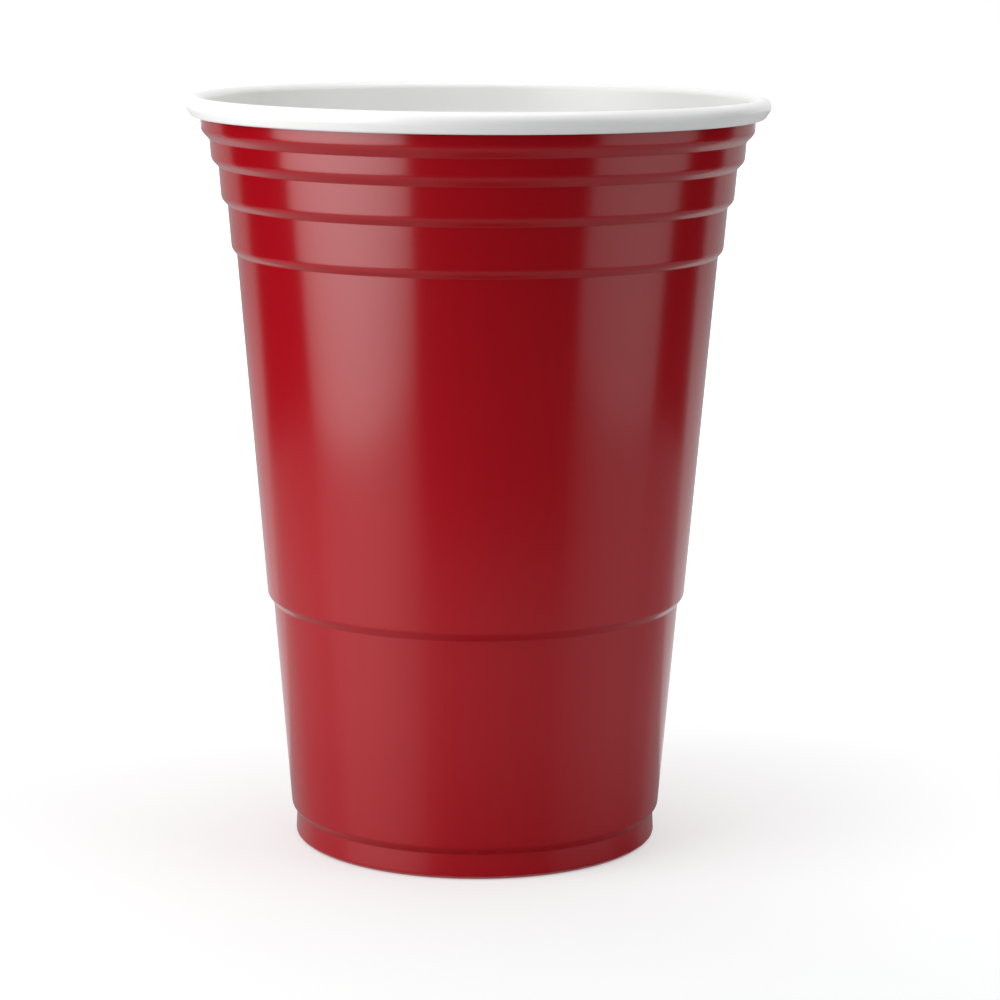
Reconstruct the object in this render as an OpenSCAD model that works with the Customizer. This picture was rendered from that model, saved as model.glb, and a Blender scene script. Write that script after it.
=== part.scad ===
// Party cup: one sheet of two-colour polystyrene, red outside and white inside, drawn into
// a tapered mould and rolled outward at the rim. It stands on Z = 0 with its axis on Z.

/* [Overall] */
// Height from the table to the top of the rim
cup_h = 120.6; // [110:0.1:135]
// Outside diameter of the rolled rim
rim_d = 93; // [86:0.5:100]
// Lean of the side wall from upright, in degrees
draft = 4.75; // [4.25:0.05:5.25]

/* [Sheet] */
// Thickness of the drawn wall and base
wall = 0.4; // [0.3:0.05:0.6]
// Thickness in the neck and the roll, where the sheet is drawn the least
rim_wall = 0.6; // [0.4:0.05:0.8]

/* [Rolled rim] */
// Width of the roll, from the inside of the cup to the outside of the rim
roll_w = 2.75; // [2.6:0.05:3.4]
// Height of the roll
roll_h = 3.3; // [3.1:0.1:3.6]
// Lean of the roll's outer face, inward on the way down, in degrees
roll_lean = 33; // [20:1:36]
// Radius inside the bend that turns the sheet's edge under
tuck_r = 0.25; // [0.1:0.05:0.4]
// Gap between the tucked edge and the neck
tuck_gap = 0.25; // [0.1:0.05:0.5]

/* [Grip steps] */
// Number of grip steps below the rim
grip_count = 4; // [2:1:5]
// Depth of the first step's root below the top of the rim
neck_h = 6.9; // [6:0.1:9]
// Distance from the first root to the second
grip_pitch = 4.3; // [3.8:0.1:6]
// How much longer each distance is than the one above it
grip_pitch_gain = 1.75; // [0:0.05:2.5]
// How far the first step goes in
grip_in = 1.2; // [0.9:0.05:1.4]
// How much less each step goes in than the one above it
grip_in_fade = 0.15; // [0:0.01:0.18]
// Lean of a grip step's shelf from upright, in degrees
grip_lean = 44; // [38:1:50]
// Radius inside the bend over the lip of a grip step
grip_lip_r = 1.4; // [0.5:0.1:1.6]

/* [Body steps] */
// Height of the middle step's root above the table
mid_z = 39.1; // [30:0.1:50]
// How far the middle step goes in
mid_in = 0.85; // [0.6:0.05:1.2]
// Height of the foot step's root above the table
foot_z = 4.1; // [3.2:0.1:6]
// How far the foot step goes in
foot_in = 0.75; // [0.5:0.05:1]
// Lean of the shelf of the middle and foot steps from upright, in degrees
body_lean = 37; // [28:1:45]
// Radius inside the bend over the lip of the middle and foot steps
body_lip_r = 0.8; // [0.4:0.1:1.6]
// Radius in the root of every step
root_r = 0.3; // [0.1:0.05:0.5]

/* [Foot and base] */
// How far the foot spreads below its step
foot_flare = 0.2; // [0.05:0.05:0.4]
// Width of the standing ring, bends included
stand_w = 2.8; // [2.4:0.1:4]
// Height of the base over the table
base_lift = 2.4; // [1.8:0.1:3.5]
// Lean of the wall between the standing ring and the base, in degrees
base_lean = 20; // [10:1:30]
// Diameter of the raised middle of the base
panel_d = 34; // [24:1:40]
// Height of the raised middle over the rest of the base
panel_lift = 0.8; // [0.5:0.1:1.2]
// Radius inside the bends of the foot and base
base_r = 0.4; // [0.2:0.05:0.5]

/* [Hidden] */
$fn = 128;
// Largest turn between two points of a bend, in degrees
arc_step = 12;
// Share of the sheet's thickness that is the red layer
red_share = 0.5;
// Share of a step's shelf that the bend over its lip may take: its root may take the rest
lip_share = 0.6;

slope = tan(draft);
rim_r = rim_d / 2;
// Height of the roll's middle, and the outside of the neck at that height
roll_z = cup_h - roll_w / 2;
neck_r = rim_r - roll_w + rim_wall;

// Height of the root of grip step n, counted from the top
function grip_z(n) = cup_h - neck_h - n * grip_pitch - grip_pitch_gain * n * (n - 1) / 2;

// Every step from the top down: height of its root, how far it goes in, lean of its shelf
// and radius of its lip
steps = [
    for (n = [0 : grip_count - 1])
        [grip_z(n), grip_in - n * grip_in_fade, grip_lean, grip_lip_r],
    [mid_z, mid_in, body_lean, body_lip_r],
    [foot_z, foot_in, body_lean, body_lip_r]
];

// How far the steps above step n have gone in
function taken_in(n) = n == 0 ? 0 : steps[n - 1][1] + taken_in(n - 1);
// Outside radius at height z of the plain wall between step n - 1 and step n
function wall_r(z, n) = neck_r - (roll_z - z) * slope - taken_in(n);
// Root and lip of step n, the root first because the section is drawn upward
function step_corners(n) =
    let (z = steps[n][0],
         lean = steps[n][2],
         rise = steps[n][1] / (tan(lean) - slope),
         room = rise / cos(lean) / tan((lean - draft) / 2),
         thick = n == 0 ? rim_wall : wall)
    [
        [wall_r(z, n + 1), z, min(root_r, room * (1 - lip_share) - wall), wall],
        [wall_r(z + rise, n), z + rise, min(steps[n][3], room * lip_share - thick), thick]
    ];

// The section's corners on the outside of the sheet, from the middle of the base to the
// tucked edge of the rim: radius, height, radius inside the bend, thickness
foot_r = wall_r(foot_z, len(steps)) + foot_flare;
recess_r = foot_r - stand_w;
base_corners = [
    [0, base_lift + panel_lift, 0, wall],
    [panel_d / 2, base_lift + panel_lift, base_r, wall],
    [panel_d / 2 + panel_lift, base_lift, base_r, wall],
    [recess_r - base_lift * tan(base_lean), base_lift, base_r, wall],
    [recess_r, 0, base_r, wall],
    [foot_r, 0, base_r, wall]
];

// The roll: one round bend from the neck over the top, down the leaning face and under
hollow_r = rim_r - rim_wall;
hollow_z = cup_h - rim_wall;
roll_bend = (hollow_r - wall_r(hollow_z, 0)) / (tan((90 - draft) / 2) + tan(45));
lean_z = hollow_z - roll_bend - roll_bend * tan(roll_lean / 2);
tuck_z = cup_h - roll_h + rim_wall;
roll_corners = [
    [wall_r(hollow_z, 0), hollow_z, roll_bend, rim_wall],
    [hollow_r, hollow_z, roll_bend, rim_wall],
    [hollow_r, lean_z, roll_bend, rim_wall],
    [hollow_r - (lean_z - tuck_z) * tan(roll_lean), tuck_z, tuck_r, rim_wall],
    [wall_r(tuck_z, 0) + tuck_gap, tuck_z, 0, rim_wall]
];

sheet = [
    each base_corners,
    for (n = [len(steps) - 1 : -1 : 0]) each step_corners(n),
    each roll_corners
];
last = len(sheet) - 1;

function unit(v) = v / norm(v);
function left_of(v) = [-v.y, v.x];
function spun(v, a) = [v.x * cos(a) - v.y * sin(a), v.x * sin(a) + v.y * cos(a)];
// Turn at corner p on the way from a to b: positive is to the left
function turn(a, p, b) = let (u = p - a, v = b - p) atan2(u.x * v.y - u.y * v.x, u * v);

function spot(i) = [sheet[i].x, sheet[i].y];
function corner_turn(i) = turn(spot(i - 1), spot(i), spot(i + 1));
// Corner i moved into the sheet by a share of its thickness
function inset(i, share) =
    let (u = unit(spot(max(i, 1)) - spot(max(i, 1) - 1)),
         v = unit(spot(min(i + 1, last)) - spot(min(i, last - 1))),
         across = left_of(u) + left_of(v))
    spot(i) + share * sheet[i][3] * across / (1 + u * v);
// Bend radius there: the sheet's outside is the long way round a left turn
function bend_r(i, share) =
    sheet[i][2] + sheet[i][3] * (corner_turn(i) > 0 ? 1 - share : share);

// Points round corner p on the way from a to b
function bend(a, p, b, r) =
    let (t = turn(a, p, b),
         u = unit(p - a),
         side = sign(t),
         start = p - u * r * tan(abs(t) / 2),
         arm = side * r * left_of(u),
         count = ceil(abs(t) / arc_step))
    [for (k = [0 : count]) start + arm - spun(arm, t * k / count)];

// The line through the sheet at a share of its thickness: 0 is the outside, 1 the inside
function face(share) =
    let (q = [for (i = [0 : last]) inset(i, share)])
    distinct([
        q[0],
        for (i = [1 : last - 1]) each bend(q[i - 1], q[i], q[i + 1], bend_r(i, share)),
        q[last]
    ]);

// Points without those that fall on the one before, as where one bend runs into the next
function distinct(list) =
    [for (i = [0 : len(list) - 1]) if (i == 0 || norm(list[i] - list[i - 1]) > 0.001) list[i]];
function reversed(list) = [for (i = [len(list) - 1 : -1 : 0]) list[i]];

module layer(from, to)
    rotate_extrude()
        polygon(concat(face(from), reversed(face(to))));

module cup() {
    color([0.62, 0.02, 0.05]) layer(0, red_share);
    color([0.95, 0.95, 0.94]) layer(red_share, 1);
}

cup();
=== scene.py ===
# %% [markdown]
# # A party cup, turned from one sheet of polystyrene
#
# The real cup starts flat. A sheet with a red layer and a white layer is heated, drawn down into
# a tapered mould and rolled outward at its cut edge, so the red side ends up outside and the
# white side inside. This lesson follows the same order. It draws the bent sheet as a section,
# turns that section about the axis with Geometry Nodes, gives each layer its own finish, and
# lights the cup as a small tabletop studio would.

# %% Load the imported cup
from math import atan2, ceil, cos, hypot, pi, radians, sin, tan

import bpy
from mathutils import Matrix, Vector


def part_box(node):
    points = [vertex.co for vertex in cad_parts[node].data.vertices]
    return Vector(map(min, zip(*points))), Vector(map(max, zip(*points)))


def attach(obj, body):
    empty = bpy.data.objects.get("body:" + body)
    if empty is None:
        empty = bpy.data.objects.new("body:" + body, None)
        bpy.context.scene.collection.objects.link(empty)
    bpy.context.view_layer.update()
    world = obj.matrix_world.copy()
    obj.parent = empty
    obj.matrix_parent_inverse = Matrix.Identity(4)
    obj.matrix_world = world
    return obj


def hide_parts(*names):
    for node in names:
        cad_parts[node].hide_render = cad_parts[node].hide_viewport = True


MM = 0.001

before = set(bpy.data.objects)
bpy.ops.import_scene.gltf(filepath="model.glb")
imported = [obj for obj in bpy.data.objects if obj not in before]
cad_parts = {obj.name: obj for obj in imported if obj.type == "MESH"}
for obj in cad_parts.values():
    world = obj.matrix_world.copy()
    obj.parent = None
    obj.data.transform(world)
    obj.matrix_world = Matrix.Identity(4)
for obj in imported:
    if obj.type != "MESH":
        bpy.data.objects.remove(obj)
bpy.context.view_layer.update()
cup_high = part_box("cup")[1]
CUP_H = cup_high.z
RIM_R = cup_high.x
print(f"cup: {CUP_H / MM:.1f} mm tall, {2 * RIM_R / MM:.1f} mm across the rim")

# %% [markdown]
# ## The sheet
#
# Every size here belongs to the drawn sheet. The wall leans out by the mould's draft, so that
# cups leave the mould and nest in each other. The steps below the rim stiffen the wall where
# fingers press on it, and the foot has a step of its own. The sheet is thicker in the neck and
# the roll than below, because it is stretched least there. Heights count from the table,
# and `NECK_H` counts down from the top of the rim.

# %% Sizes of the sheet
DRAFT = radians(4.75)
WALL = 0.4 * MM
RIM_WALL = 0.6 * MM

ROLL_W = 2.75 * MM
ROLL_H = 3.3 * MM
ROLL_LEAN = radians(33)
TUCK_R = 0.25 * MM
TUCK_GAP = 0.25 * MM

GRIP_COUNT = 4
NECK_H = 6.9 * MM
GRIP_PITCH = 4.3 * MM
GRIP_PITCH_GAIN = 1.75 * MM
GRIP_IN = 1.2 * MM
GRIP_IN_FADE = 0.15 * MM
GRIP_LEAN = radians(44)
GRIP_LIP_R = 1.4 * MM

MID_Z = 39.1 * MM
MID_IN = 0.85 * MM
FOOT_Z = 4.1 * MM
FOOT_IN = 0.75 * MM
BODY_LEAN = radians(37)
BODY_LIP_R = 0.8 * MM
ROOT_R = 0.3 * MM
LIP_SHARE = 0.6

FOOT_FLARE = 0.2 * MM
STAND_W = 2.8 * MM
BASE_LIFT = 2.4 * MM
BASE_LEAN = radians(20)
PANEL_R = 17 * MM
PANEL_LIFT = 0.8 * MM
BASE_R = 0.4 * MM

# %% [markdown]
# ## Corners of the section
#
# A folded sheet is easiest to describe by its corners, as if every bend were sharp: a place, the
# radius inside the bend and the thickness there. The list runs along the outside of the sheet,
# from the middle of the base, round the foot, up the wall and over the rim to the tucked edge.
# Each step gives two corners, its root below and its lip above, joined by a leaning shelf.

# %% Wall and steps
SLOPE = tan(DRAFT)
ROLL_Z = CUP_H - ROLL_W / 2
NECK_R = RIM_R - ROLL_W + RIM_WALL


def grip_z(n):
    """Height of the root of grip step n above the table. The steps count from the rim down."""
    return CUP_H - NECK_H - n * GRIP_PITCH - GRIP_PITCH_GAIN * n * (n - 1) / 2


grips = [
    (grip_z(n), GRIP_IN - n * GRIP_IN_FADE, GRIP_LEAN, GRIP_LIP_R)
    for n in range(GRIP_COUNT)
]
mid_step = (MID_Z, MID_IN, BODY_LEAN, BODY_LIP_R)
foot_step = (FOOT_Z, FOOT_IN, BODY_LEAN, BODY_LIP_R)
steps = grips + [mid_step, foot_step]


def wall_r(z, n):
    """Outside radius at height z of the plain wall between step n - 1 and step n."""
    return NECK_R - (ROLL_Z - z) * SLOPE - sum(step[1] for step in steps[:n])


def step_corners(n):
    """Root and lip of step n, with bends that leave room for each other on the shelf."""
    z, inward, lean, lip_r = steps[n]
    thick = RIM_WALL if n == 0 else WALL
    rise = inward / (tan(lean) - SLOPE)
    room = rise / cos(lean) / tan((lean - DRAFT) / 2)
    root = (wall_r(z, n + 1), z, min(ROOT_R, room * (1 - LIP_SHARE) - WALL), WALL)
    lip = (wall_r(z + rise, n), z + rise, min(lip_r, room * LIP_SHARE - thick), thick)
    return [root, lip]


print("step roots at", [round(step[0] / MM, 1) for step in steps], "mm")

# %% [markdown]
# The base is drawn up off the table, so the cup stands on a narrow ring and doesn't rock, and
# its middle is a raised panel. The rolled rim is one round bend: it leaves the neck, goes over
# the top, comes down its leaning face and turns under, where the cut edge of the sheet hides.

# %% Base and roll
foot_r = wall_r(FOOT_Z, len(steps)) + FOOT_FLARE
recess_r = foot_r - STAND_W
base_corners = [
    (0, BASE_LIFT + PANEL_LIFT, 0, WALL),
    (PANEL_R, BASE_LIFT + PANEL_LIFT, BASE_R, WALL),
    (PANEL_R + PANEL_LIFT, BASE_LIFT, BASE_R, WALL),
    (recess_r - BASE_LIFT * tan(BASE_LEAN), BASE_LIFT, BASE_R, WALL),
    (recess_r, 0, BASE_R, WALL),
    (foot_r, 0, BASE_R, WALL),
]

hollow_r = RIM_R - RIM_WALL
hollow_z = CUP_H - RIM_WALL
roll_bend = (hollow_r - wall_r(hollow_z, 0)) / (tan((pi / 2 - DRAFT) / 2) + tan(pi / 4))
lean_z = hollow_z - roll_bend - roll_bend * tan(ROLL_LEAN / 2)
tuck_z = CUP_H - ROLL_H + RIM_WALL
roll_corners = [
    (wall_r(hollow_z, 0), hollow_z, roll_bend, RIM_WALL),
    (hollow_r, hollow_z, roll_bend, RIM_WALL),
    (hollow_r, lean_z, roll_bend, RIM_WALL),
    (hollow_r - (lean_z - tuck_z) * tan(ROLL_LEAN), tuck_z, TUCK_R, RIM_WALL),
    (wall_r(tuck_z, 0) + TUCK_GAP, tuck_z, 0, RIM_WALL),
]

corners = list(base_corners)
for n in reversed(range(len(steps))):
    corners += step_corners(n)
corners += roll_corners
print(f"the sheet has {len(corners)} corners, and its foot is {2 * foot_r / MM:.1f} mm across")

# %% [markdown]
# ## Round bends
#
# A smooth-shaded mesh blends its normals across each face. On a long plain wall next to a small
# bend, that blend would show as a broad false gradient in every reflection. So the wall gets one
# ring of points close to each bend, and the bend's shading stops there. Bends themselves are
# drawn as arcs, with a point for every few degrees of turn.

# %% Arcs and plain stretches
ARC_STEP = radians(7)
SUPPORT = 0.12 * MM
SHORTEST_PLAIN = 3 * SUPPORT
RING_GAP = 5 * MM
NEAR = 0.001 * MM


def left_of(v):
    """The direction a quarter turn to the left."""
    return Vector((-v.y, v.x))


def turn_at(a, p, b):
    """Turn at p on the way from a to b: positive is to the left."""
    u, v = p - a, b - p
    return atan2(u.x * v.y - u.y * v.x, u.dot(v))


def bend(a, p, b, radius):
    """Points of the arc that rounds corner p on the way from a to b."""
    turn = turn_at(a, p, b)
    forward = (p - a).normalized()
    start = p - forward * radius * tan(abs(turn) / 2)
    arm = left_of(forward) * radius * (1 if turn > 0 else -1)
    count = ceil(abs(turn) / ARC_STEP)
    return [start + arm - Matrix.Rotation(turn * k / count, 2) @ arm for k in range(count + 1)]


def stretch(a, b):
    """Points between a and b, the first and the last of them close to the ends."""
    length = (b - a).length
    if length < SHORTEST_PLAIN:
        return []
    parts = ceil(length / RING_GAP)
    stops = [SUPPORT] + [length * k / parts for k in range(1, parts)] + [length - SUPPORT]
    return [a + (b - a) * (stop / length) for stop in stops]


# %% [markdown]
# The inner face of the sheet is the outer face moved inward by the thickness. At a corner the
# move goes along the mitre, and the bend keeps its centre: on the long way round a corner the
# radius grows by the thickness. Both faces come from the same corners, so the wall is even.

# %% The two faces of the sheet
def spot(i):
    """The place of corner i on the outside."""
    return Vector(corners[i][:2])


def inset(i, share):
    """Corner i moved into the sheet by a share of its thickness."""
    last = len(corners) - 1
    before = (spot(max(i, 1)) - spot(max(i, 1) - 1)).normalized()
    after = (spot(min(i + 1, last)) - spot(min(i, last - 1))).normalized()
    across = left_of(before) + left_of(after)
    return spot(i) + across * (share * corners[i][3] / (1 + before.dot(after)))


def bend_r(i, share):
    """Radius of bend i on the line through the sheet at a share of its thickness."""
    turn = turn_at(spot(i - 1), spot(i), spot(i + 1))
    return corners[i][2] + corners[i][3] * (1 - share if turn > 0 else share)


def sheet_face(share):
    """The line through the sheet at a share of its thickness: 0 is outside, 1 is inside."""
    marks = [inset(i, share) for i in range(len(corners))]
    line = [marks[0]]
    for i in range(1, len(marks) - 1):
        arc = bend(marks[i - 1], marks[i], marks[i + 1], bend_r(i, share))
        line += stretch(line[-1], arc[0]) + arc
    line += stretch(line[-1], marks[-1]) + [marks[-1]]
    return [p for k, p in enumerate(line) if k == 0 or (p - line[k - 1]).length > NEAR]


outside = sheet_face(0)
inside = sheet_face(1)
print(f"outside face {len(outside)} points, inside face {len(inside)} points")

# %% [markdown]
# The two faces meet at the cut edge of the sheet, under the roll. Its two corners are only just
# broken, and the red layer ends halfway across it. The whole section is then one line that
# starts and ends on the axis.

# %% The closed section
EDGE_R = 0.06 * MM

edge_out, edge_in = outside[-1], inside[-1]
edge_mid = (edge_out + edge_in) / 2
red_edge = bend(outside[-2], edge_out, edge_in, EDGE_R)
white_edge = bend(edge_out, edge_in, inside[-2], EDGE_R)
red_line = outside[:-1] + red_edge + [edge_mid]
white_line = white_edge + inside[-2::-1]
section = red_line + white_line
print(f"section: {len(red_line)} points on the red side, {len(white_line)} on the white side")

# %% [markdown]
# ## Turning the section
#
# A revolved shape follows one rule, so Geometry Nodes make it. The section comes in as a chain
# of points. A grid supplies the faces: its rows are the points of the section and its columns
# are the steps around the axis. Each grid point looks up its row in the section and swings it to
# its column's angle. The Screw modifier would do nearly the same, but here the row number also
# tells which layer of the sheet a face belongs to, so the tree can give each its own material.

# %% A short way to add a node
def node(tree, kind, inputs=None, **settings):
    """Adds a node. Settings are its properties; inputs are values, or sockets that feed it."""
    made = tree.nodes.new(kind)
    for name, value in settings.items():
        setattr(made, name, value)
    for name, value in (inputs or {}).items():
        if isinstance(value, bpy.types.NodeSocket):
            tree.links.new(value, made.inputs[name])
        else:
            made.inputs[name].default_value = value
    return made


def maths(tree, operation, a, b=0.0, c=0.0):
    """A Math node's result."""
    return node(tree, "ShaderNodeMath", {0: a, 1: b, 2: c}, operation=operation).outputs[0]


def add_sockets(tree, in_out, sockets):
    """Names the sockets of a node group, and gives those with a value their default."""
    for name, kind, *value in sockets:
        socket = tree.interface.new_socket(name, in_out=in_out, socket_type="NodeSocket" + kind)
        if value:
            socket.default_value = value[0]


# %% [markdown]
# A row number is the index divided by the length of a row, without its remainder. Half is added
# to the index first, so that a tiny error in the division can't drop a point to the row before.

# %% The turning tree
HALF = 0.5


def turning_tree():
    """Geometry Nodes that turn a section about the Z axis, in two materials."""
    tree = bpy.data.node_groups.new("turned_sheet", "GeometryNodeTree")
    tree.is_modifier = True
    add_sockets(tree, "INPUT", [
        ("Section", "Geometry"),
        ("Steps Around", "Int", 96),
        ("Red Rows", "Int", 1),
        ("Merge Distance", "Float", NEAR),
        ("Red Layer", "Material"),
        ("White Layer", "Material"),
    ])
    add_sockets(tree, "OUTPUT", [("Sheet", "Geometry")])
    given = node(tree, "NodeGroupInput").outputs
    index = node(tree, "GeometryNodeInputIndex").outputs[0]
    past_index = maths(tree, "ADD", index, HALF)

    rows = node(tree, "GeometryNodeAttributeDomainSize", {"Geometry": given["Section"]})
    columns = maths(tree, "ADD", given["Steps Around"], 1)
    grid = node(tree, "GeometryNodeMeshGrid", {
        "Vertices X": rows.outputs["Point Count"],
        "Vertices Y": columns,
    })
    row = maths(tree, "FLOOR", maths(tree, "DIVIDE", past_index, columns))
    column = maths(tree, "SUBTRACT", index, maths(tree, "MULTIPLY", row, columns))

    place = node(tree, "GeometryNodeSampleIndex", {
        "Geometry": given["Section"],
        "Index": row,
    }, data_type="FLOAT_VECTOR", domain="POINT")
    tree.links.new(node(tree, "GeometryNodeInputPosition").outputs[0], place.inputs["Value"])
    section_point = node(tree, "ShaderNodeSeparateXYZ", {0: place.outputs[0]}).outputs
    share = maths(tree, "DIVIDE", column, given["Steps Around"])
    angle = maths(tree, "MULTIPLY", share, -2 * pi)
    swung = node(tree, "ShaderNodeCombineXYZ", {
        "X": maths(tree, "MULTIPLY", section_point["X"], maths(tree, "COSINE", angle)),
        "Y": maths(tree, "MULTIPLY", section_point["X"], maths(tree, "SINE", angle)),
        "Z": section_point["Z"],
    })
    turned = node(tree, "GeometryNodeSetPosition", {
        "Geometry": grid.outputs["Mesh"],
        "Position": swung.outputs[0],
    })

    face_row = maths(tree, "FLOOR", maths(tree, "DIVIDE", past_index, given["Steps Around"]))
    is_red = maths(tree, "LESS_THAN", face_row, given["Red Rows"])
    white = node(tree, "GeometryNodeSetMaterial", {
        "Geometry": turned.outputs[0],
        "Material": given["White Layer"],
    })
    both = node(tree, "GeometryNodeSetMaterial", {
        "Geometry": white.outputs[0],
        "Selection": is_red,
        "Material": given["Red Layer"],
    })
    closed = node(tree, "GeometryNodeMergeByDistance", {
        "Geometry": both.outputs[0],
        "Distance": given["Merge Distance"],
    })
    smooth = node(tree, "GeometryNodeSetShadeSmooth", {"Geometry": closed.outputs[0]})
    real = node(tree, "GeometryNodeRealizeInstances", {"Geometry": smooth.outputs[0]})
    node(tree, "NodeGroupOutput", {"Sheet": real.outputs[0]})
    return tree


# %% [markdown]
# The materials are only named here, because the tree needs them. Their finish comes below. The
# tree runs once, and its result becomes a plain mesh: the modifier and the section are then gone.

# %% Name the two layers
def blank_material(name):
    """A new material with an empty node tree."""
    material = bpy.data.materials.new(name)
    material.use_nodes = True
    material.node_tree.nodes.clear()
    return material


glossy_red = blank_material("glossy_red_layer")
satin_white = blank_material("satin_white_layer")
print("layers:", glossy_red.name, "and", satin_white.name)

# %% Turn the cup
STEPS_AROUND = 180


def set_out(name, data):
    """A new object at the origin of the scene."""
    thing = bpy.data.objects.new(name, data)
    bpy.context.scene.collection.objects.link(thing)
    return thing


def section_object():
    """The section as a chain of points in the XZ plane."""
    mesh = bpy.data.meshes.new("cup_section")
    chain = [(i, i + 1) for i in range(len(section) - 1)]
    mesh.from_pydata([(p.x, 0, p.y) for p in section], chain, [])
    return set_out("cup_section", mesh)


def turn_sheet(name):
    """Runs the turning tree on the section and returns the result as a plain mesh object."""
    source = section_object()
    tree = turning_tree()
    run = source.modifiers.new("turned_sheet", "NODES")
    run.node_group = tree
    given = {
        "Steps Around": STEPS_AROUND,
        "Red Rows": len(red_line) - 1,
        "Merge Distance": NEAR,
        "Red Layer": glossy_red,
        "White Layer": satin_white,
    }
    for socket in tree.interface.items_tree:
        if socket.name in given:
            run[socket.identifier] = given[socket.name]
    ready = source.evaluated_get(bpy.context.evaluated_depsgraph_get())
    mesh = bpy.data.meshes.new_from_object(ready)
    mesh.name = name
    for slot in reversed(range(len(mesh.materials))):
        if mesh.materials[slot] is None:
            mesh.materials.pop(index=slot)
    source.modifiers.remove(run)
    bpy.data.objects.remove(source)
    return set_out(name, mesh)


cup_sheet = turn_sheet("cup_sheet")

# %% [markdown]
# Two measures show whether the turned sheet is the cup that was packed. Its box should be the
# same, and the volume inside its closed surface should come out positive, which also says that
# its faces point outward.

# %% Measure the turned sheet
def enclosed_volume(mesh):
    """Volume inside a closed mesh, from the tetrahedra between its faces and the origin."""
    mesh.calc_loop_triangles()
    spots = [v.co for v in mesh.vertices]
    total = 0.0
    for triangle in mesh.loop_triangles:
        a, b, c = (spots[i] for i in triangle.vertices)
        total += a.dot(b.cross(c)) / 6
    return total


sheet_mesh = cup_sheet.data
top = max(v.co.z for v in sheet_mesh.vertices)
reach = max(hypot(v.co.x, v.co.y) for v in sheet_mesh.vertices)
print(f"cup_sheet: {len(sheet_mesh.polygons)} faces, {len(sheet_mesh.materials)} materials")
volume = enclosed_volume(sheet_mesh)
print(f"top {top / MM:.3f} mm, radius {reach / MM:.3f} mm, {volume / MM**3:.0f} mm3")

# %% [markdown]
# ## Finishes
#
# Drawn polystyrene is smooth but not perfect. The sheet is pulled down the mould, which leaves
# faint lines along the wall. Its skin has a slight orange peel, and the colour is a little
# uneven where the sheet is thinner. Both layers share these effects, so each is a node group
# with its own inputs, placed in the red and the white material with different values.
#
# Draw lines run down the wall and would break up at a seam if they used an angle. Instead the
# point's direction from the axis, a circle of constant size, goes into a noise texture whose
# height coordinate is squeezed. The noise then changes quickly around the cup, slowly along it.

# %% Draw lines down the wall
def draw_lines_group():
    """Faint streaks along the wall, the same on both sides of the sheet."""
    tree = bpy.data.node_groups.new("draw_lines", "ShaderNodeTree")
    add_sockets(tree, "INPUT", [
        ("Position", "Vector"),
        ("Lines Around", "Float", 20.0),
        ("Breaks Along", "Float", 10.0),
    ])
    add_sockets(tree, "OUTPUT", [("Lines", "Float")])
    given = node(tree, "NodeGroupInput").outputs
    place = node(tree, "ShaderNodeSeparateXYZ", {0: given["Position"]}).outputs
    flat = node(tree, "ShaderNodeCombineXYZ", {"X": place["X"], "Y": place["Y"]})
    way = node(tree, "ShaderNodeVectorMath", {0: flat.outputs[0]}, operation="NORMALIZE")
    ring = node(tree, "ShaderNodeVectorMath", {
        0: way.outputs[0],
        "Scale": given["Lines Around"],
    }, operation="SCALE")
    height = maths(tree, "MULTIPLY", place["Z"], given["Breaks Along"])
    lift = node(tree, "ShaderNodeCombineXYZ", {"Z": height})
    point = node(tree, "ShaderNodeVectorMath", {0: ring.outputs[0], 1: lift.outputs[0]})
    noise = node(tree, "ShaderNodeTexNoise", {
        "Vector": point.outputs[0],
        "Scale": 1.0,
        "Detail": 3.0,
        "Roughness": 0.55,
    })
    node(tree, "NodeGroupOutput", {"Lines": noise.outputs[0]})
    return tree


draw_lines = draw_lines_group()
print("draw lines:", [item.name for item in draw_lines.interface.items_tree])

# %% [markdown]
# The skin is the finest effect: an orange peel about a millimetre across, far shallower than it
# is wide, and broad clouds where the sheet is slightly thicker or thinner. The clouds shift the
# colour and the gloss by a few hundredths, which the eye reads as plastic and not as paint.

# %% Orange peel and clouds
def moulded_skin_group():
    """A shallow orange peel for the bump, and soft clouds for the colour and the gloss."""
    tree = bpy.data.node_groups.new("moulded_skin", "ShaderNodeTree")
    add_sockets(tree, "INPUT", [
        ("Position", "Vector"),
        ("Peel Scale", "Float", 900.0),
        ("Cloud Scale", "Float", 40.0),
    ])
    add_sockets(tree, "OUTPUT", [("Peel", "Float"), ("Clouds", "Float")])
    given = node(tree, "NodeGroupInput").outputs
    peel = node(tree, "ShaderNodeTexNoise", {
        "Vector": given["Position"],
        "Scale": given["Peel Scale"],
        "Detail": 1.0,
    })
    clouds = node(tree, "ShaderNodeTexNoise", {
        "Vector": given["Position"],
        "Scale": given["Cloud Scale"],
        "Detail": 4.0,
        "Roughness": 0.6,
    })
    node(tree, "NodeGroupOutput", {"Peel": peel.outputs[0], "Clouds": clouds.outputs[0]})
    return tree


moulded_skin = moulded_skin_group()
print("moulded skin:", [item.name for item in moulded_skin.interface.items_tree])

# %% [markdown]
# The deeper the sheet is drawn, the thinner its colour gets. The red is deepest at the grips and
# a little paler where the wall has stretched, so the third effect is the share of that stretch:
# none near the rim, all of it from the middle of the cup down.

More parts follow.
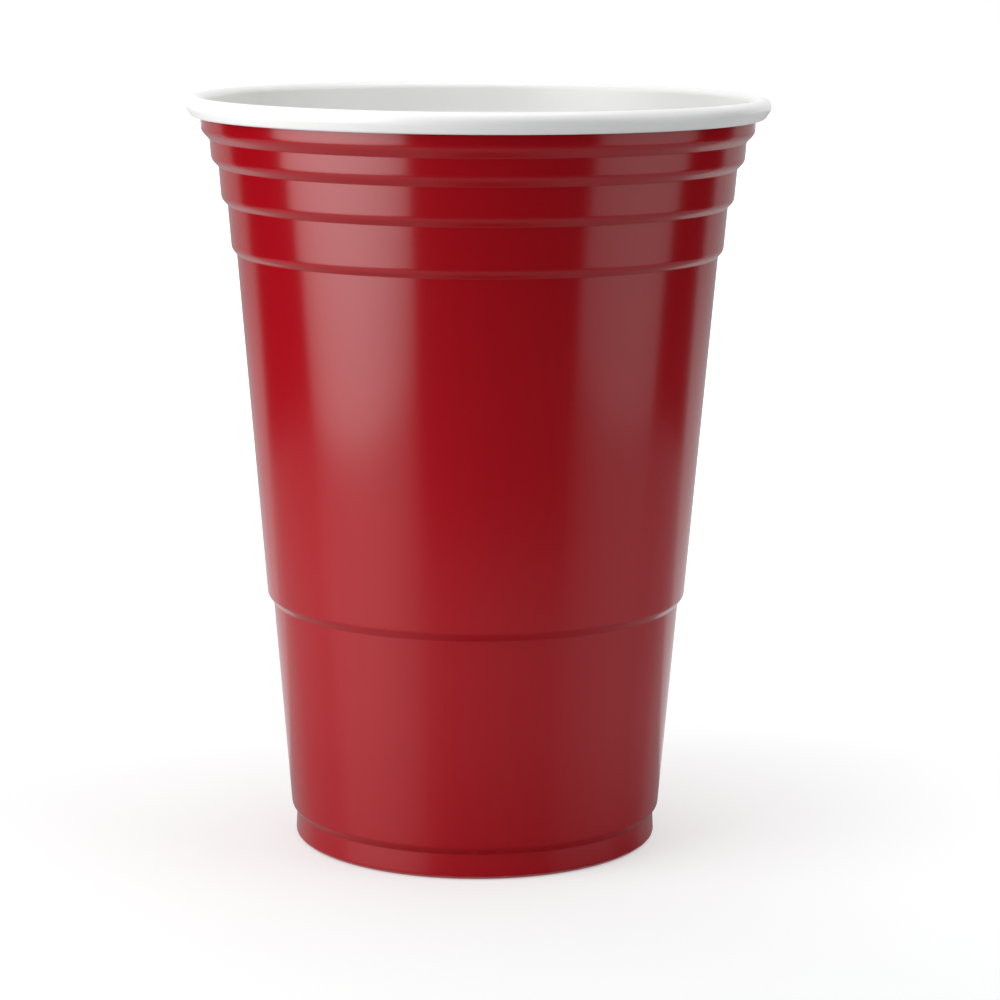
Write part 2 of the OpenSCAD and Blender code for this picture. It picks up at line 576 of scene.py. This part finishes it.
# %% Stretch of the sheet
def stretch_share_group():
    """How far the sheet is stretched at each height: 0 at the rim's end, 1 at the foot's."""
    tree = bpy.data.node_groups.new("stretch_share", "ShaderNodeTree")
    add_sockets(tree, "INPUT", [
        ("Position", "Vector"),
        ("Thick Above", "Float", 105 * MM),
        ("Thin Below", "Float", 45 * MM),
    ])
    add_sockets(tree, "OUTPUT", [("Stretch", "Float")])
    given = node(tree, "NodeGroupInput").outputs
    height = node(tree, "ShaderNodeSeparateXYZ", {0: given["Position"]}).outputs["Z"]
    share = node(tree, "ShaderNodeMapRange", {
        "Value": height,
        "From Min": given["Thick Above"],
        "From Max": given["Thin Below"],
    }, interpolation_type="SMOOTHSTEP")
    node(tree, "NodeGroupOutput", {"Stretch": share.outputs[0]})
    return tree


stretch_share = stretch_share_group()
print("stretch share:", [item.name for item in stretch_share.interface.items_tree])

# %% [markdown]
# One function builds either finish from these effects. The shader stays in the material, as do
# the numbers that are the same all over, such as its index of refraction. Only what changes
# over the surface comes through a link: the colour, the roughness and the bump. The colour goes
# from deep to pale partly by the stretch and partly by the lines and clouds. These two are scaled
# first, so that their product stays about a half, with a little either way.

# %% Build a polystyrene finish
POLYSTYRENE_IOR = 1.59
SKIN_SHINE = 0.6
LINES_RANGE, LINES_LEAST = 0.4, 0.3
CLOUDS_LEAST = 0.5
SMOOTHEST_AT, DULLEST_AT = 0.2, 0.8


def finish_polystyrene(material, deep, pale, drawn, gloss, lines_around, line_depth, peel_depth):
    """Gives a blank material the look of drawn polystyrene, from a deep to a pale colour.

    drawn is the share of that change that comes from the stretch, gloss is the least and the
    greatest roughness, and the depths are those of the relief.
    """
    tree = material.node_tree
    place = node(tree, "ShaderNodeTexCoord").outputs["Object"]
    lines = node(tree, "ShaderNodeGroup", node_tree=draw_lines)
    skin = node(tree, "ShaderNodeGroup", node_tree=moulded_skin)
    thinned = node(tree, "ShaderNodeGroup", node_tree=stretch_share)
    for group in (lines, skin, thinned):
        tree.links.new(place, group.inputs["Position"])
    lines.inputs["Lines Around"].default_value = lines_around

    lined = maths(tree, "MULTIPLY_ADD", lines.outputs["Lines"], LINES_RANGE, LINES_LEAST)
    clouded = maths(tree, "ADD", skin.outputs["Clouds"], CLOUDS_LEAST)
    uneven = maths(tree, "MULTIPLY", lined, clouded)
    paleness = maths(tree, "MULTIPLY", uneven, 1 - drawn)
    paleness = maths(tree, "MULTIPLY_ADD", thinned.outputs["Stretch"], drawn, paleness)
    tint = node(tree, "ShaderNodeMix", {0: paleness}, data_type="RGBA")
    tint.inputs["A"].default_value = (*deep, 1)
    tint.inputs["B"].default_value = (*pale, 1)
    smooth, dull = gloss
    roughness = node(tree, "ShaderNodeMapRange", {
        "Value": uneven,
        "From Min": SMOOTHEST_AT,
        "From Max": DULLEST_AT,
        "To Min": smooth,
        "To Max": dull,
    })
    relief = maths(tree, "MULTIPLY", lines.outputs["Lines"], line_depth / peel_depth)
    bump = node(tree, "ShaderNodeBump", {
        "Strength": 1.0,
        "Distance": peel_depth,
        "Height": maths(tree, "ADD", relief, skin.outputs["Peel"]),
    })
    shader = node(tree, "ShaderNodeBsdfPrincipled", {
        "Base Color": tint.outputs["Result"],
        "Roughness": roughness.outputs[0],
        "Normal": bump.outputs[0],
        "IOR": POLYSTYRENE_IOR,
        "Specular IOR Level": SKIN_SHINE,
    })
    node(tree, "ShaderNodeOutputMaterial", {"Surface": shader.outputs[0]})


# %% [markdown]
# The red layer is a deep, slightly cool red: nearly all of its light is in the red channel, so
# that highlights look pink beside it. Most of its change of colour comes from the stretch. The
# white layer is a clean, faintly warm white that hides its stretch, and a little duller than the
# red, because the mould's plug brushes over it.

# %% Red outside, white inside
finish_polystyrene(
    glossy_red,
    deep=(0.32, 0.0006, 0.0055),
    pale=(0.42, 0.0010, 0.0085),
    drawn=0.75,
    gloss=(0.14, 0.18),
    lines_around=24.0,
    line_depth=0.004 * MM,
    peel_depth=0.001 * MM,
)
finish_polystyrene(
    satin_white,
    deep=(0.88, 0.88, 0.875),
    pale=(0.91, 0.91, 0.905),
    drawn=0.0,
    gloss=(0.30, 0.36),
    lines_around=18.0,
    line_depth=0.004 * MM,
    peel_depth=0.001 * MM,
)
print("finishes:", glossy_red.name, "and", satin_white.name)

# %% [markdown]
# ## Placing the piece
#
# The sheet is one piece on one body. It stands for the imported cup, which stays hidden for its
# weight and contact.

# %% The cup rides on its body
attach(cup_sheet, "root")
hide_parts("cup")
print("pieces:", [cup_sheet.name])

# %% [markdown]
# ## The tabletop
#
# The table is a pale board that goes on as far as the camera sees. A plain glow lies over it
# that the camera and reflections see, so the floor comes out white without more light on the
# cup, and the soft shadow stays. The glow is weakest at the front left, where the lamps light
# the board more, and full at the back and far out in front. Shades that change along a way, such
# as this glow, are given as a short list of places and values.

# %% Table and its surface
TABLE_HALF = 4.0
TABLE_DROP = 0.05 * MM
TABLE_GREY = (0.63, 0.65, 0.65)
GLOW_WAY = (0.53, 0.85, 0)
GLOW = [
    (-0.60, 1.0), (-0.18, 0.42), (-0.13, 0.38), (-0.09, 0.34),
    (-0.03, 0.39), (0.01, 0.45), (0.04, 0.48), (0.10, 0.54), (0.30, 1.0),
]


def shades_along(tree, value, shades):
    """Turns a value into a shade, from a list of values and their shades in rising order."""
    first, last = shades[0][0], shades[-1][0]
    share = node(tree, "ShaderNodeMapRange", {
        "Value": value,
        "From Min": first,
        "From Max": last,
    })
    ramp = node(tree, "ShaderNodeValToRGB", {"Fac": share.outputs[0]})
    stops = ramp.color_ramp.elements
    stops[0].color = (*[shades[0][1]] * 3, 1)
    stops[1].color = (*[shades[-1][1]] * 3, 1)
    for place, shade in shades[1:-1]:
        stops.new((place - first) / (last - first)).color = (*[shade] * 3, 1)
    return ramp.outputs["Color"]


def seen_rays(tree):
    """1 for what the camera sees, straight, in a reflection or through something clear."""
    rays = node(tree, "ShaderNodeLightPath").outputs
    seen = maths(tree, "MAXIMUM", rays["Is Camera Ray"], rays["Is Glossy Ray"])
    return maths(tree, "MAXIMUM", seen, rays["Is Transmission Ray"])


def pale_table():
    """The surface of the table: a lit board, and a glow that lights nothing."""
    material = blank_material("pale_table")
    tree = material.node_tree
    place = node(tree, "ShaderNodeTexCoord").outputs["Object"]
    along = node(tree, "ShaderNodeVectorMath", {0: place, 1: GLOW_WAY}, operation="DOT_PRODUCT")
    shader = node(tree, "ShaderNodeBsdfPrincipled", {
        "Base Color": (*TABLE_GREY, 1),
        "Roughness": 0.5,
        "Specular IOR Level": 0.0,
        "Emission Color": shades_along(tree, along.outputs["Value"], GLOW),
        "Emission Strength": seen_rays(tree),
    })
    node(tree, "ShaderNodeOutputMaterial", {"Surface": shader.outputs[0]})
    return material


def table_object():
    """A large flat square just under the standing ring of the cup."""
    mesh = bpy.data.meshes.new("table")
    square = [(-1, -1), (1, -1), (1, 1), (-1, 1)]
    spots = [(x * TABLE_HALF, y * TABLE_HALF, -TABLE_DROP) for x, y in square]
    mesh.from_pydata(spots, [], [(0, 1, 2, 3)])
    mesh.materials.append(pale_table())
    return set_out("table", mesh)


table = table_object()
print(f"table: {2 * TABLE_HALF:.0f} m square, with {len(GLOW)} shades in its glow")

# %% [markdown]
# ## Light
#
# Gloss shows its surroundings, so the lamps are placed by what the wall should reflect. A wall
# that faces the angle a mirrors what stands at the angle 2a. A softbox on the left gives the
# broad pink band, and a dimmer one on the right gives the narrower grey-red band. Both stand on
# the table, so their bands fade out halfway down the wall, where it mirrors the table instead.
# A third softbox hangs over the cup. It lights the rim and the inside, and the wall, which
# leans outwards, never mirrors it. A real softbox is brightest in its middle, so the two at the
# sides fade a little towards their edges. Strengths are given as radiance: a lamp of radiance 1
# looks just white, and takes 4 W for each square metre. Angles are measured round the cup from
# the camera's side, with the right side positive.

# %% Softboxes round the cup
WATTS_PER_AREA = 4.0
PANEL_MIDDLE = (0.5, 0.5, 0)
EDGES_TO_ONE = (2, 2, 0)
OVERHEAD_SIZE = 0.30
OVERHEAD_H = 0.42


def feather(lamp, fade):
    """Makes a rectangular lamp dimmer by a share of its strength at the middle of its edges."""
    lamp.use_nodes = True
    tree = lamp.node_tree
    tree.nodes.clear()
    off = node(tree, "ShaderNodeNewGeometry").outputs["Parametric"]
    for by, operation in ((PANEL_MIDDLE, "SUBTRACT"), (EDGES_TO_ONE, "MULTIPLY")):
        off = node(tree, "ShaderNodeVectorMath", {0: off, 1: by}, operation=operation).outputs[0]
    square = node(tree, "ShaderNodeVectorMath", {0: off, 1: off}, operation="DOT_PRODUCT")
    level = maths(tree, "MULTIPLY_ADD", square.outputs["Value"], -fade, 1.0)
    glow = node(tree, "ShaderNodeEmission", {"Strength": maths(tree, "MAXIMUM", level, 0.0)})
    node(tree, "ShaderNodeOutputLight", {"Surface": glow.outputs[0]})


def panel(name, width, height, radiance, fade=0.0):
    """A rectangular lamp of a given radiance, in units of white, that the camera doesn't see."""
    lamp = bpy.data.lights.new(name, "AREA")
    lamp.shape = "RECTANGLE"
    lamp.size = width
    lamp.size_y = height
    lamp.energy = radiance * WATTS_PER_AREA * width * height
    if fade:
        feather(lamp, fade)
    thing = set_out(name, lamp)
    thing.visible_camera = False
    return thing


def softbox(name, start, end, distance, height, radiance, fade):
    """A panel standing on the table that spans the angles from start to end round the cup."""
    middle = (start + end) / 2
    width = 2 * distance * tan(abs(end - start) / 2)
    box = panel(name, width, height, radiance, fade)
    way = Vector((sin(middle), -cos(middle), 0))
    box.location = way * distance + Vector((0, 0, height / 2))
    box.rotation_euler = way.to_track_quat("Z", "Y").to_euler()
    print(f"{name}: {width / MM:.0f} mm wide, {distance / MM:.0f} mm from the axis")


softbox(
    "left_softbox",
    start=radians(-28),
    end=radians(-86),
    distance=0.25,
    height=0.30,
    radiance=2.52,
    fade=0.45,
)
softbox(
    "right_softbox",
    start=radians(47.5),
    end=radians(94.5),
    distance=0.28,
    height=0.40,
    radiance=0.65,
    fade=0.25,
)

overhead = panel("overhead_softbox", OVERHEAD_SIZE, OVERHEAD_SIZE, radiance=1.1)
overhead.location = (0, 0, OVERHEAD_H)
print(f"overhead_softbox: {OVERHEAD_SIZE / MM:.0f} mm square, {OVERHEAD_H / MM:.0f} mm up")

# %% [markdown]
# Between the softboxes the wall should mirror something dark, or its red turns milky. In a
# studio that is a black cloth. It stands all round except at the back, out of the camera's
# sight, and takes the light that comes in low.
#
# The wall leans, so most of it mirrors the table. A board lies there that only reflections see,
# so it takes no light away from the cup. It has a real gloss, over a glow of painted light and
# painted shade that stands in for the lit table: a painted reflection. Its gloss picks up the foot
# of each softbox where the view along the table is flat, as it is from the foot of the cup. The
# glow has four lists of shades from the cup outwards: pale painted light below each softbox,
# darker in front with painted shade at the foot, and black far out, which is the dark band down
# the middle of the cup, and palest behind, which draws its two sides. The lists blend into each
# other over an angle that narrows outwards, so the bands are crisp at the grips and soft at the
# foot. The glow needs no lamp, so a shade in a reflection is the one that is written here.

# %% Black cloth, and a board that glows with a painted reflection
CLOTH_R = 1.5
CLOTH_RISE = 0.7
CLOTH_START, CLOTH_END = -129, 128
WEAVE_SCALE, WEAVE_RANGE, WEAVE_LEAST = 60.0, 0.1, 0.8
SWEEP_STEP = 9
BOARD_LIFT = 0.5 * MM
BOARD_DULL = 0.4
BLACK = (0.002, 0.002, 0.002, 1)


def swept(name, start, end, profile, material):
    """Sweeps a line of two points (radius, height) round the cup, from start to end in degrees."""
    count = ceil((end - start) / SWEEP_STEP)
    start, end = radians(start), radians(end)
    angles = [start + (end - start) * k / count for k in range(count + 1)]
    spots = [(r * sin(a), -r * cos(a), z) for a in angles for r, z in profile]
    faces = [(2 * k, 2 * k + 2, 2 * k + 3, 2 * k + 1) for k in range(count)]
    mesh = bpy.data.meshes.new(name)
    mesh.from_pydata(spots, [], faces)
    mesh.materials.append(material)
    sheet = set_out(name, mesh)
    sheet.visible_camera = False
    return sheet


def black_cloth():
    """A plain black that gives nothing back."""
    material = blank_material("black_cloth")
    tree = material.node_tree
    weave = node(tree, "ShaderNodeTexNoise", {"Scale": WEAVE_SCALE})
    roughness = maths(tree, "MULTIPLY_ADD", weave.outputs[0], WEAVE_RANGE, WEAVE_LEAST)
    shader = node(tree, "ShaderNodeBsdfPrincipled", {
        "Base Color": BLACK,
        "Roughness": roughness,
        "Specular IOR Level": 0.0,
    })
    node(tree, "ShaderNodeOutputMaterial", {"Surface": shader.outputs[0]})
    return material


# Painted reflection: pale painted light below each softbox, painted shade at the foot in front.
LEFT_SHADES = [(0.03, 0.24), (0.06, 0.27), (0.09, 0.34), (0.15, 0.38), (0.28, 0.24), (0.31, 0)]
FRONT_SHADES = [(0.03, 0.02), (0.05, 0.06), (0.08, 0.13), (0.13, 0.16), (0.17, 0.07), (0.20, 0)]
RIGHT_SHADES = [
    (0.03, 0.08), (0.055, 0.17), (0.085, 0.24), (0.14, 0.25), (0.29, 0.21), (0.31, 0),
]
BACK_SHADES = [(0.03, 0.62), (0.12, 0.64), (0.30, 0.42), (0.60, 0.22)]
SOFT_AT, CRISP_AT = 0.05, 0.25
LEFT_EDGE = (radians(-30), radians(32), radians(7))
RIGHT_EDGE = (radians(52), radians(30), radians(14))
BACK_LEFT_EDGE = (radians(CLOTH_START), radians(4), radians(2))
BACK_RIGHT_EDGE = (radians(CLOTH_END), radians(4), radians(2))
AROUND = [
    (LEFT_SHADES, BACK_LEFT_EDGE),
    (FRONT_SHADES, LEFT_EDGE),
    (RIGHT_SHADES, RIGHT_EDGE),
    (BACK_SHADES, BACK_RIGHT_EDGE),
]


def beyond(tree, angle, away, edge):
    """0 before an edge and 1 past it. An edge is its angle and its half width near and far out."""
    middle, soft, crisp = edge
    half = node(tree, "ShaderNodeMapRange", {
        "Value": away,
        "From Min": SOFT_AT,
        "From Max": CRISP_AT,
        "To Min": soft,
        "To Max": crisp,
    }).outputs[0]
    return node(tree, "ShaderNodeMapRange", {
        "Value": angle,
        "From Min": maths(tree, "SUBTRACT", middle, half),
        "From Max": maths(tree, "ADD", middle, half),
    }, interpolation_type="SMOOTHSTEP").outputs[0]


def gloss_and_painted_glow():
    """A gloss over a glow of painted light and shade that changes with distance and angle."""
    material = blank_material("gloss_and_painted_glow")
    tree = material.node_tree
    place = node(tree, "ShaderNodeTexCoord").outputs["Object"]
    away = node(tree, "ShaderNodeVectorMath", {0: place}, operation="LENGTH").outputs["Value"]
    spot = node(tree, "ShaderNodeSeparateXYZ", {0: place}).outputs
    angle = maths(tree, "ARCTAN2", spot["X"], maths(tree, "MULTIPLY", spot["Y"], -1))
    # The glow's shades are painted light and painted shade, seen only in reflections.
    shade = shades_along(tree, away, BACK_SHADES)
    for shades, edge in AROUND:
        share = beyond(tree, angle, away, edge)
        blend = node(tree, "ShaderNodeMix", {0: share}, data_type="RGBA")
        tree.links.new(shade, blend.inputs["A"])
        tree.links.new(shades_along(tree, away, shades), blend.inputs["B"])
        shade = blend.outputs["Result"]
    shader = node(tree, "ShaderNodeBsdfPrincipled", {
        "Base Color": BLACK,
        "Roughness": BOARD_DULL,
        "Emission Color": shade,
        "Emission Strength": 1.0,
    })
    node(tree, "ShaderNodeOutputMaterial", {"Surface": shader.outputs[0]})
    return material


standing = [(CLOTH_R, 0), (CLOTH_R, CLOTH_RISE)]
lying = [(foot_r, BOARD_LIFT), (CLOTH_R, BOARD_LIFT)]
swept("standing_cloth", CLOTH_START, CLOTH_END, standing, black_cloth())
# This board glows with a painted reflection of the lit and shaded table.
painted_reflection_board = swept("painted_reflection_board", -180, 180, lying, gloss_and_painted_glow())
painted_reflection_board.visible_diffuse = False
painted_reflection_board.visible_transmission = False
painted_reflection_board.visible_shadow = False
print("painted_reflection_board:", len(AROUND), "lists of shades round the cup")

# %% [markdown]
# The world is white to the camera and in reflections, as the studio's backdrop is, and dimmer
# for everything else, so that the lamps shape the cup.

# %% Backdrop
AMBIENT = 0.61

world = bpy.data.worlds.new("studio")
bpy.context.scene.world = world
world.use_nodes = True
studio = world.node_tree
studio.nodes.clear()
strength = maths(studio, "MULTIPLY_ADD", seen_rays(studio), 1 - AMBIENT, AMBIENT)
backdrop = node(studio, "ShaderNodeBackground", {"Color": (1, 1, 1, 1), "Strength": strength})
node(studio, "ShaderNodeOutputWorld", {"Surface": backdrop.outputs[0]})
print(f"world: white where it is seen, {AMBIENT} of white as light")

# %% [markdown]
# ## Camera
#
# The camera is a long lens half a metre away, a little above the rim and tipped down, so that
# the rim is a slim ellipse and the sides hardly converge. It is turned and rolled by a fraction
# of a degree, which puts the cup slightly left of the middle. The background is plain white, so
# the view transform is Standard: other transforms would grey the white and mute the red.

# %% Camera
LENS = 115.74
SENSOR = 36.0
CAMERA_H = 0.14875
CAMERA_D = 0.51424
PITCH = radians(10.31)
YAW = radians(-0.427)
ROLL = radians(0.363)

lens = bpy.data.cameras.new("camera")
lens.lens = LENS
lens.sensor_width = SENSOR
camera = set_out("camera", lens)
camera.location = (0, -CAMERA_D, CAMERA_H)
turn, tip = Matrix.Rotation(YAW, 3, "Z"), Matrix.Rotation(pi / 2 - PITCH, 3, "X")
camera.rotation_euler = (turn @ tip @ Matrix.Rotation(ROLL, 3, "Z")).to_euler()
bpy.context.scene.camera = camera
bpy.context.scene.view_settings.view_transform = "Standard"
print(f"camera: {LENS} mm lens, {CAMERA_D / MM:.0f} mm back and {CAMERA_H / MM:.0f} mm up")
